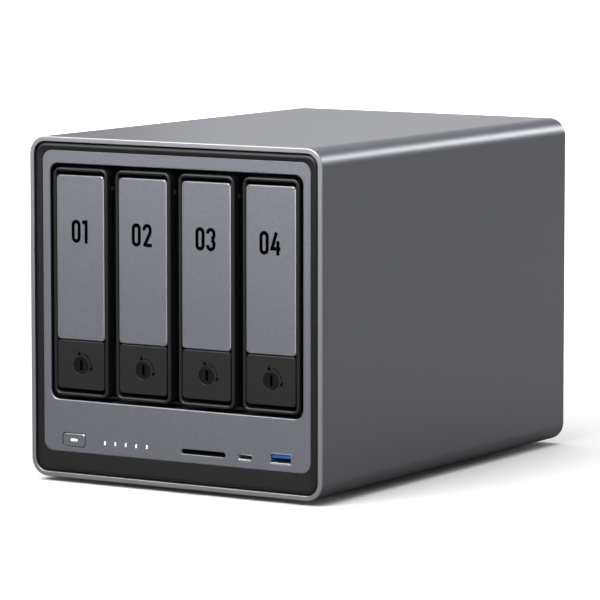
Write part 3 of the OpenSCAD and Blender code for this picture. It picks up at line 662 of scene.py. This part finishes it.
def ribbon(bm, points, width, y, depth, closed=False):
    """A flat band of even width along a path in the XZ plane, with square ends"""
    path = [Vector((u, v)) for u, v in points]
    count = len(path)
    rails = []
    for i, here in enumerate(path):
        before = path[i - 1] if closed or i else here
        after = path[(i + 1) % count] if closed or i < count - 1 else here
        into, out = here - before, after - here
        into = into.normalized() if into.length else out.normalized()
        out = out.normalized() if out.length else into
        mean = (into + out).normalized()
        reach = width / 2 / max(0.5, mean.dot(out))
        normal = Vector((-mean.y, mean.x)) * reach
        sides = (here + normal, here - normal)
        rails.append([bm.verts.new((p.x, at, p.y)) for at in (y, y + depth) for p in sides])
    for i in range(count if closed else count - 1):
        a, b = rails[i], rails[(i + 1) % count]
        for k, j in ((0, 1), (1, 3), (3, 2), (2, 0)):
            bm.faces.new((a[k], a[j], b[j], b[k]))
    if not closed:
        for end in (rails[0], rails[-1]):
            bm.faces.new((end[0], end[1], end[3], end[2]))


def arc(x, z, rx, rz, start, stop, steps=14):
    """Points on an ellipse, angles in degrees from +X towards +Z"""
    turns = [math.radians(start + (stop - start) * i / steps) for i in range(steps + 1)]
    return [(x + rx * math.cos(a), z + rz * math.sin(a)) for a in turns]


def print_ink():
    """Matt black ink that reflects nothing"""
    material = grained("Black print", (0.0015, 0.0015, 0.0015), 0.0, 0.8, depth=0.002)
    material.node_tree.nodes["Principled BSDF"].inputs["Specular IOR Level"].default_value = 0.0
    return material


# Each numeral has its width, and its strokes in millimetres from its middle, open or closed
half_w, half_h = 1.85, 5.05
bend = half_h - half_w
overrun = 0.95
numerals = {
    "0": (5.5, [(arc(0, bend, half_w, half_w, 0, 180) + arc(0, -bend, half_w, half_w, 180, 360), True)]),
    "1": (3.3, [([(0.85, -half_h - overrun), (0.85, half_h + overrun)], False),
                ([(0.3, half_h + 0.1), (-1.5, half_h - 0.5)], False)]),
    "2": (5.9, [(arc(0, bend, half_w, half_w, 200, 0) + [(1.95, 2.2), (1.6, 1.0), (-1.9, -5.6)], False),
                ([(-0.6, -half_h), (2.9, -half_h)], False)]),
    "3": (5.5, [(arc(0, bend, half_w, half_w, 190, 0) + [(1.95, 1.8), (1.45, 0.85), (0.3, 0.55)], False),
                ([(0.3, -0.55), (1.45, -0.85), (1.95, -1.8)] + arc(0, -bend, half_w, half_w, 0, -190),
                 False)]),
    "4": (6.1, [([(0.5, half_h + 0.6), (-2.1, -2.7), (0.35, -2.7)], False),
                ([(2.9, -2.7), (1.2, -2.7)], False),
                ([(1.35, 1.2), (1.35, -half_h - overrun)], False)]),
}
stroke, numeral_gap, left_shift = 1.9 * mm, 1.0 * mm, 0.35 * mm
number_z = low.z + 129.3 * mm
ink_y, ink_depth = face_low.y - 0.04 * mm, 0.2 * mm
black_ink = print_ink()
for number, x in enumerate(tray_xs, start=1):
    digits = bmesh.new()
    pair = f"0{number}"
    pair_w = sum(numerals[digit][0] for digit in pair) * mm + numeral_gap
    pen_x = x - pair_w / 2 - left_shift
    for digit in pair:
        width, strokes = numerals[digit]
        for points, closed in strokes:
            placed = [(pen_x + (width / 2 + u) * mm, number_z + v * mm) for u, v in points]
            ribbon(digits, placed, stroke, ink_y, ink_depth, closed)
        pen_x += width * mm + numeral_gap
    bay_number = make_object(f"tray_{number}_number", digits, [black_ink], f"handle_{number}")

# ---- Push panels ----
# A black moulded panel fills the foot of each tray front. Behind it are two guide posts, and a
# boss round the lock.

latch_plastic = spark_textured("Latch plastic", (0.017, 0.017, 0.0175), 0.40)
latch_low, latch_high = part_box("tray_1_latch")
latch_z, latch_w, latch_h = centre((latch_low, latch_high))[1:]
latch_y, panel_back = latch_low.y, latch_low.y + 3 * mm
panel_rows = [(0, panel_back), (0, latch_y + 0.7 * mm), (-0.2 * mm, latch_y + 0.2 * mm),
              (-0.6 * mm, latch_y)]
lock_flare = 0.15 * mm
boss_r, bore_r, boss_back = lock_r + 1.8 * mm, lock_r + 0.05 * mm, latch_y + 8.5 * mm
boss_profile = [(boss_r, panel_back), (boss_r, boss_back), (bore_r, boss_back), (bore_r, panel_back)]
post_r, post_tip_r = 1.6 * mm, 1.2 * mm
post_profile = [(post_r, panel_back), (post_r, latch_high.y - 0.4 * mm), (post_tip_r, latch_high.y)]
for number, x in enumerate(tray_xs, start=1):
    panel = loft(f"tray_{number}_push_panel", nested(x, latch_z, latch_w, latch_h, panel_r, panel_rows),
                 [latch_plastic], f"latch_{number}")
    lock_hole = (x, lock_z, 2 * lock_r + seam, 2 * lock_r + seam, lock_r + seam / 2 - 0.001 * mm)
    cut(panel, hole_cutter(lock_hole, lock_flare, latch_y, 4 * mm))
    back = bmesh.new()
    wrap(back, [disc(x, lock_z, r, y) for r, y in boss_profile], closed=True)
    for side in (-1, 1):
        wrap(back, [disc(x + side * post_x, lock_z, r, y) for r, y in post_profile])
    posts = make_object(f"tray_{number}_latch_posts", back, [latch_plastic], f"latch_{number}")
    for piece in (panel, posts):
        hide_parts(f"tray_{number}_latch")

# ---- Lock marks ----
# Printed on each push panel round its lock: an arc between a closed padlock above and an open
# one on the right, as plain shapes.

mark_y, mark_depth, mark_r, mark_line = latch_y - 0.02 * mm, 0.1 * mm, 6.4 * mm, 0.42 * mm
body_w, body_h, body_drop = 1.6 * mm, 1.3 * mm, 0.3 * mm
shackle_w, shackle_h, shackle_line, shackle_shift = 0.42 * mm, 0.7 * mm, 0.36 * mm, 0.5 * mm
for number, x in enumerate(tray_xs, start=1):
    marks = bmesh.new()
    ribbon(marks, arc(x, lock_z, mark_r, mark_r, 80, 4, 18), mark_line, mark_y, mark_depth)
    for angle, shift in ((99, 0), (-11, shackle_shift)):
        u = x + mark_r * math.cos(math.radians(angle))
        v = lock_z + mark_r * math.sin(math.radians(angle))
        body = [(u - body_w / 2, v - body_drop), (u + body_w / 2, v - body_drop)]
        ribbon(marks, body, body_h, mark_y, mark_depth)
        shackle = arc(u + shift, v + body_drop, shackle_w, shackle_h, 0, 180, 8)
        ribbon(marks, shackle, shackle_line, mark_y, mark_depth)
    lock_marks = make_object(f"tray_{number}_lock_marks", marks, [black_ink], f"latch_{number}")

# ---- Locks ----
# A turned cylinder with a dished face and a slot for a flat key. A cam bar at its back end holds
# the latch.

lock_plastic = spark_textured("Lock plastic", (0.004, 0.004, 0.0045), 0.36, depth=0.006)
lock_plastic.node_tree.nodes["Principled BSDF"].inputs["Specular IOR Level"].default_value = 0.35
lock_low, lock_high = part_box("tray_1_lock")
lock_y, lock_back = lock_low.y, lock_low.y + 9 * mm
# Insets from the cylinder's radius and depths behind its face, in millimetres
lock_profile = [(0, 9), (0, 0.25), (0.1, 0.08), (0.4, 0), (0.9, 0.02), (1.2, 0.12)]
key_w, key_h, key_r, key_flare = 1.6 * mm, 5.6 * mm, 0.3 * mm, 0.1 * mm
cam_z, cam_w, cam_h, cam_r, cam_bevel = lock_z - 2.5 * mm, 4 * mm, 9.5 * mm, 1.9 * mm, 0.2 * mm
cam_rows = [(-cam_bevel, lock_back), (0, lock_back + cam_bevel), (0, lock_high.y - cam_bevel),
            (-cam_bevel, lock_high.y)]
for number, x in enumerate(tray_xs, start=1):
    barrel = [disc(x, lock_z, lock_r - inset * mm, lock_y + depth * mm) for inset, depth in lock_profile]
    cylinder = loft(f"tray_{number}_lock_cylinder", barrel, [lock_plastic], f"lock_{number}")
    cut(cylinder, hole_cutter((x, lock_z, key_w, key_h, key_r), key_flare, lock_y + 0.1 * mm, 4 * mm))
    cam = loft(f"tray_{number}_lock_cam", nested(x, cam_z, cam_w, cam_h, cam_r, cam_rows),
               [lock_plastic], f"lock_{number}")
    for piece in (cylinder, cam):
        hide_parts(f"tray_{number}_lock")

# ---- Hinge pins ----
# Two ground steel pins in the ends of the lever's trunnions, which show through the bores in the
# ring's walls. Their outer ends are chamfered.

pin_steel = grained("Hinge pin steel", (0.45, 0.45, 0.46), 1.0, 0.45, depth=0.004, contrast=0.05)
pin_r, pin_tip_r, pin_chamfer, pin_proud = 1.29 * mm, 1.1 * mm, 0.2 * mm, 0.05 * mm
pin_profile = [(pin_r, ring_wall + pin_chamfer), (pin_r, pin_chamfer), (pin_tip_r, 0)]
for number, x in enumerate(tray_xs, start=1):
    pins = bmesh.new()
    for side in (-1, 1):
        tip = x + side * (ring_w / 2 + pin_proud)
        wrap(pins, [wheel(tip - side * inward, hinge_y, hinge_z, r) for r, inward in pin_profile])
    hinge_pins = make_object(f"tray_{number}_hinge_pins", pins, [pin_steel], f"handle_{number}")

# ---- Feet ----
# Four glued pads of black silicone rubber with a rounded lower edge and a moulded groove.

rubber = grained("Foot rubber", (0.018, 0.018, 0.018), 0.0, 0.75, grain=1800.0, mottle=600.0, depth=0.03,
                 spread=0.1)
feet_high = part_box("feet")[1]
foot_r = 8 * mm
# Insets from the pad's radius and heights above the floor, in millimetres
foot_edge = [(0, 0.8), (0.25, 0.25), (0.8, 0), (2.2, 0), (2.4, 0.35), (2.9, 0.35), (3.1, 0)]
foot_profile = [(foot_r - 0.2 * mm, feet_high.z), (foot_r, feet_high.z - 0.2 * mm)]
foot_profile += [(foot_r - inset * mm, height * mm) for inset, height in foot_edge]
for side, side_name in ((-1, "left"), (1, "right")):
    for along, end_name in ((-1, "front"), (1, "back")):
        x, y = side * (feet_high.x - foot_r), along * (feet_high.y - foot_r)
        foot = loft(f"foot_{side_name}_{end_name}", [disc(x, y, r, z, lying=True) for r, z in foot_profile],
                    [rubber], "root")
        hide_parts("feet")

# ---- Steel sheet, screws and sockets ----
# The pieces that keep their shape: powder-coated and zinc-plated sheet, blackened screws,
# nickel-plated port shells, moulded sockets, brass standoffs and green boards.

powder = grained("Powder coat", (0.05, 0.05, 0.052), 0.0, 0.5, grain=1500.0, mottle=500.0, depth=0.05)
black_zinc = grained("Black zinc", (0.09, 0.09, 0.095), 0.8, 0.36)
moulded = grained("Socket plastic", (0.018, 0.018, 0.018), 0.0, 0.45)
nylon = grained("Guide nylon", (0.025, 0.025, 0.025), 0.0, 0.5, depth=0.02)
fan_plastic = grained("Fan plastic", (0.028, 0.028, 0.029), 0.0, 0.4, grain=3000.0)
blue_tongue = grained("Blue tongue", (0.02, 0.14, 0.5), 0.0, 0.35, depth=0.004, contrast=0.08)
brass = grained("Turned brass", (0.62, 0.45, 0.18), 1.0, 0.3, contrast=0.08)
grey_cap = grained("Grey cap", (0.2, 0.2, 0.2), 0.0, 0.5)
sink_metal = grained("Extruded aluminium", (0.62, 0.63, 0.64), 1.0, 0.4, grain=900.0, depth=0.02,
                     contrast=0.08)


def zinc_plate():
    """Zinc-plated steel with the spangle of its crystals"""
    material, nodes, links, shader = new_material("Zinc plate", (0.5, 0.51, 0.52), 1.0, 0.38)
    place = nodes.new("ShaderNodeTexCoord")
    spangle = nodes.new("ShaderNodeTexVoronoi")
    spangle.inputs["Scale"].default_value = 120
    flakes = two_tones(nodes, (0.38, 0.39, 0.41), (0.58, 0.59, 0.60))
    links.new(place.outputs["Object"], spangle.inputs["Vector"])
    links.new(spangle.outputs["Color"], flakes.inputs["Fac"])
    links.new(flakes.outputs["Color"], shader.inputs["Base Color"])
    return material


def solder_mask():
    """A green circuit board with lighter tracks"""
    material, nodes, links, shader = new_material("Solder mask", (0.01, 0.07, 0.03), 0.0, 0.35)
    place = nodes.new("ShaderNodeTexCoord")
    tracks = nodes.new("ShaderNodeTexBrick")
    tracks.inputs["Scale"].default_value = 160
    tracks.inputs["Mortar Size"].default_value = 0.04
    tracks.inputs["Color1"].default_value = (0.008, 0.055, 0.024, 1)
    tracks.inputs["Color2"].default_value = (0.012, 0.075, 0.032, 1)
    tracks.inputs["Mortar"].default_value = (0.03, 0.15, 0.07, 1)
    links.new(place.outputs["Object"], tracks.inputs["Vector"])
    links.new(tracks.outputs["Color"], shader.inputs["Base Color"])
    return material


nickel_tone, nickel_gloss = (0.74, 0.74, 0.76), 0.4


def shelled(name, edge):
    """A plated shell round a black moulded insert that starts a little behind the edge"""
    material, nodes, links, shader = new_material(name, nickel_tone, 1.0, nickel_gloss)
    place = nodes.new("ShaderNodeTexCoord")
    split = nodes.new("ShaderNodeSeparateXYZ")
    share = ranged(nodes, edge - 0.8 * mm, edge - 0.5 * mm, 0, 1)
    tint = nodes.new("ShaderNodeMix")
    tint.data_type = "RGBA"
    tint.inputs["A"].default_value = (0.012, 0.012, 0.012, 1)
    tint.inputs["B"].default_value = (*nickel_tone, 1)
    surface = nodes.new("ShaderNodeGroup")
    surface.node_tree = fine_grain
    gloss = ranged(nodes, 0, 1, nickel_gloss - 0.06, nickel_gloss + 0.06)
    links.new(place.outputs["Object"], split.inputs["Vector"])
    links.new(split.outputs["Y"], share.inputs["Value"])
    links.new(share.outputs["Result"], tint.inputs["Factor"])
    links.new(share.outputs["Result"], shader.inputs["Metallic"])
    links.new(tint.outputs["Result"], shader.inputs["Base Color"])
    links.new(surface.outputs["Mottle"], gloss.inputs["Value"])
    links.new(gloss.outputs["Result"], shader.inputs["Roughness"])
    return material


lan_low, lan_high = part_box("network_ports")
rear_shells = shelled("Plated rear shells", lan_high.y)
zinc, board = zinc_plate(), solder_mask()
finishes = {
    "bottom_cover": powder, "rear_panel": powder, "bottom_screws": black_zinc, "rear_screws": black_zinc,
    "front_board": board, "backplane": board, "main_board": board, "memory_module": board,
    "card_reader": moulded, "drive_sockets": moulded, "memory_sockets": moulded, "power_inlet": moulded,
    "network_ports": rear_shells, "video_port": rear_shells, "rear_usb_ports": rear_shells,
    "usb_a_tongue": blue_tongue, "drive_cage": zinc, "power_supply": zinc, "tray_guides": nylon,
    "board_standoffs": brass, "heat_sink": sink_metal, "fan_frame": fan_plastic, "filter_frame": fan_plastic,
    "reset_button": grey_cap,
}
for node, material in finishes.items():
    mesh = frame["nodes"][node].data
    mesh.materials.clear()
    mesh.materials.append(material)

# ---- Front sockets ----
# Two deep-drawn steel shells with a rolled front edge, plated with nickel. The small one holds a
# black tongue, and the large one has its blue tongue as a piece of its own.

nickel = grained("Nickel plate", nickel_tone, 1.0, nickel_gloss, depth=0.003, contrast=0.05, spread=0.05)
socket_wall = 0.42 * mm
usb_c_place = (usb_c_x, usb_c_z, usb_c_w, usb_c_h, 1.35 * mm)
usb_a_place = (usb_a_x, usb_a_z, usb_a_w, usb_a_h, 0.4 * mm)
for name, place, mouth, end in (("usb_c", usb_c_place, usb_c_low.y, usb_c_high.y),
                                ("usb_a", usb_a_place, usb_a_low.y, usb_a_high.y)):
    shell_rows = [(0, end), (0, mouth + 0.12 * mm), (-0.1 * mm, mouth + 0.02 * mm), (-0.2 * mm, mouth),
                  (0.1 * mm - socket_wall, mouth + 0.05 * mm), (-socket_wall, mouth + 0.25 * mm),
                  (-socket_wall, end - 1.5 * mm)]
    shell = loft(f"{name}_shell", nested(*place, shell_rows), [nickel], "root")
    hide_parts(f"{name}_port")
    insulator_rows = [(-socket_wall, end - 2 * mm), (-socket_wall, end - 6 * mm),
                      (-socket_wall - 0.2 * mm, end - 6.2 * mm)]
    insulator = loft(f"{name}_insulator", nested(*place, insulator_rows), [moulded], "root")
    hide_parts(f"{name}_port")

tongue_rows = [(0, usb_c_high.y - 6.3 * mm), (0, usb_c_low.y + 1.6 * mm),
               (-0.15 * mm, usb_c_low.y + 1.3 * mm)]
usb_c_tongue = loft("usb_c_tongue", nested(usb_c_x, usb_c_z, 6.7 * mm, 0.7 * mm, 0.3 * mm, tongue_rows),
                    [moulded], "root")
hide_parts("usb_c_port")

# ---- Fan rotor ----
# One moulded rotor: a cup over the motor, a shaft behind it, and nine swept, twisted blades.

rotor_low, rotor_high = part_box("fan_rotor")
fan_x, fan_z = (rotor_low.x + rotor_high.x) / 2, (rotor_low.z + rotor_high.z) / 2
hub_r, tip_r = 20.5 * mm, 64.6 * mm
root_r = hub_r - 0.6 * mm
cup_front, cup_back = rotor_low.y, rotor_low.y + 19 * mm
cup_profile = [(hub_r - 2.5 * mm, cup_front), (hub_r - 1.0 * mm, cup_front + 0.4 * mm),
               (hub_r, cup_front + 1.6 * mm), (hub_r, cup_back - 0.3 * mm), (hub_r - 0.3 * mm, cup_back)]
shaft_r = 2 * mm
blade_count, blade_sections, section_points = 9, 9, 16
root_pitch, tip_pitch, sweep = 52, 30, 16
root_chord, tip_chord = 15 * mm, 28 * mm
half_thick, camber_rise, depth_share = 0.55 * mm, 1.6 * mm, 0.72
blade_y = (cup_front + cup_back) / 2


def blade_section(share, turn):
    """Points round the blade at a share of its length, with the blade's root turned by an angle"""
    radius = root_r + share * (tip_r - root_r)
    pitch = math.radians(root_pitch + share * (tip_pitch - root_pitch))
    chord = root_chord + share * (tip_chord - root_chord)
    lean = math.radians(turn - sweep * share)
    points = []
    for k in range(section_points):
        a = math.tau * k / section_points
        along = 0.5 * chord * math.cos(a)
        camber = camber_rise * (1 - (2 * along / chord) ** 2)
        lift = camber + half_thick * math.sin(a) * (1 + 0.3 * math.cos(a))
        angle = lean + (along * math.cos(pitch) - lift * math.sin(pitch)) / radius
        depth = along * math.sin(pitch) + lift * math.cos(pitch)
        points.append((fan_x + radius * math.sin(angle), blade_y + depth * depth_share,
                       fan_z + radius * math.cos(angle)))
    return points


rotor = bmesh.new()
wrap(rotor, [disc(fan_x, fan_z, r, y) for r, y in cup_profile])
wrap(rotor, [disc(fan_x, fan_z, shaft_r, y) for y in (cup_back, rotor_high.y)])
for blade in range(blade_count):
    turn = 360 / blade_count * blade
    wrap(rotor, [blade_section(step / (blade_sections - 1), turn) for step in range(blade_sections)])
blades = make_object("fan_blades", rotor, [fan_plastic], "fan")
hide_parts("fan_rotor")

# ---- Filter mesh ----
# A fine nylon net, welded into the magnetic frame: two layers of square strands that cross.

net_low, net_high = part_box("filter_mesh")
net_x, net_z = (net_low.x + net_high.x) / 2, (net_low.z + net_high.z) / 2
half_net, net_r = (net_high.x - net_low.x) / 2 - 0.3 * mm, 20 * mm
strand, layer, spacing = 0.4 * mm, 0.2 * mm, 1.5 * mm
net = bmesh.new()
for i in range(-int(half_net / spacing), int(half_net / spacing) + 1):
    u = i * spacing
    past = max(0, abs(u) - (half_net - net_r))
    reach = half_net - net_r + math.sqrt(max(0, net_r ** 2 - past ** 2))
    ribbon(net, [(net_x + u, net_z - reach), (net_x + u, net_z + reach)], strand, net_low.y, layer)
    ribbon(net, [(net_x - reach, net_z + u), (net_x + reach, net_z + u)], strand, net_low.y + layer, layer)
mesh_nylon = grained("Filter nylon", (0.012, 0.012, 0.012), 0.0, 0.6)
filter_net = make_object("filter_net", net, [mesh_nylon], "dust_filter")
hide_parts("filter_mesh")

# ---- Contacts ----
# Gold-plated spring contacts: eight in each network socket, and four under the blue tongue of
# the front socket.

gold = grained("Gold contact", (0.83, 0.62, 0.25), 1.0, 0.25, depth=0.002, contrast=0.05)
lan_count, lan_pitch, lan_inset = 8, 1.02 * mm, 8 * mm
lan_bottom, lan_top = lan_low.z + 9.6 * mm, lan_low.z + 10.1 * mm
lan_w, lan_length, lan_y = 0.45 * mm, 9 * mm, lan_high.y - 12 * mm
network_pins = bmesh.new()
for x in (lan_low.x + lan_inset, lan_high.x - lan_inset):
    for i in range(lan_count):
        u = x + (i - (lan_count - 1) / 2) * lan_pitch
        ribbon(network_pins, [(u, lan_bottom), (u, lan_top)], lan_w, lan_y, lan_length)
network_contacts = make_object("network_contacts", network_pins, [gold], "root")

tongue_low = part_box("usb_a_tongue")[0]
pin_count, pin_pitch, pin_w = 4, 2.5 * mm, 1.0 * mm
pin_z, pin_thick = tongue_low.z - 0.05 * mm, 0.1 * mm
pin_y, pin_length = tongue_low.y + 1.5 * mm, 8 * mm
usb_pins = bmesh.new()
for i in range(pin_count):
    u = usb_a_x + (i - (pin_count - 1) / 2) * pin_pitch
    ribbon(usb_pins, [(u - pin_w / 2, pin_z), (u + pin_w / 2, pin_z)], pin_thick, pin_y, pin_length)
usb_contacts = make_object("usb_contacts", usb_pins, [gold], "root")
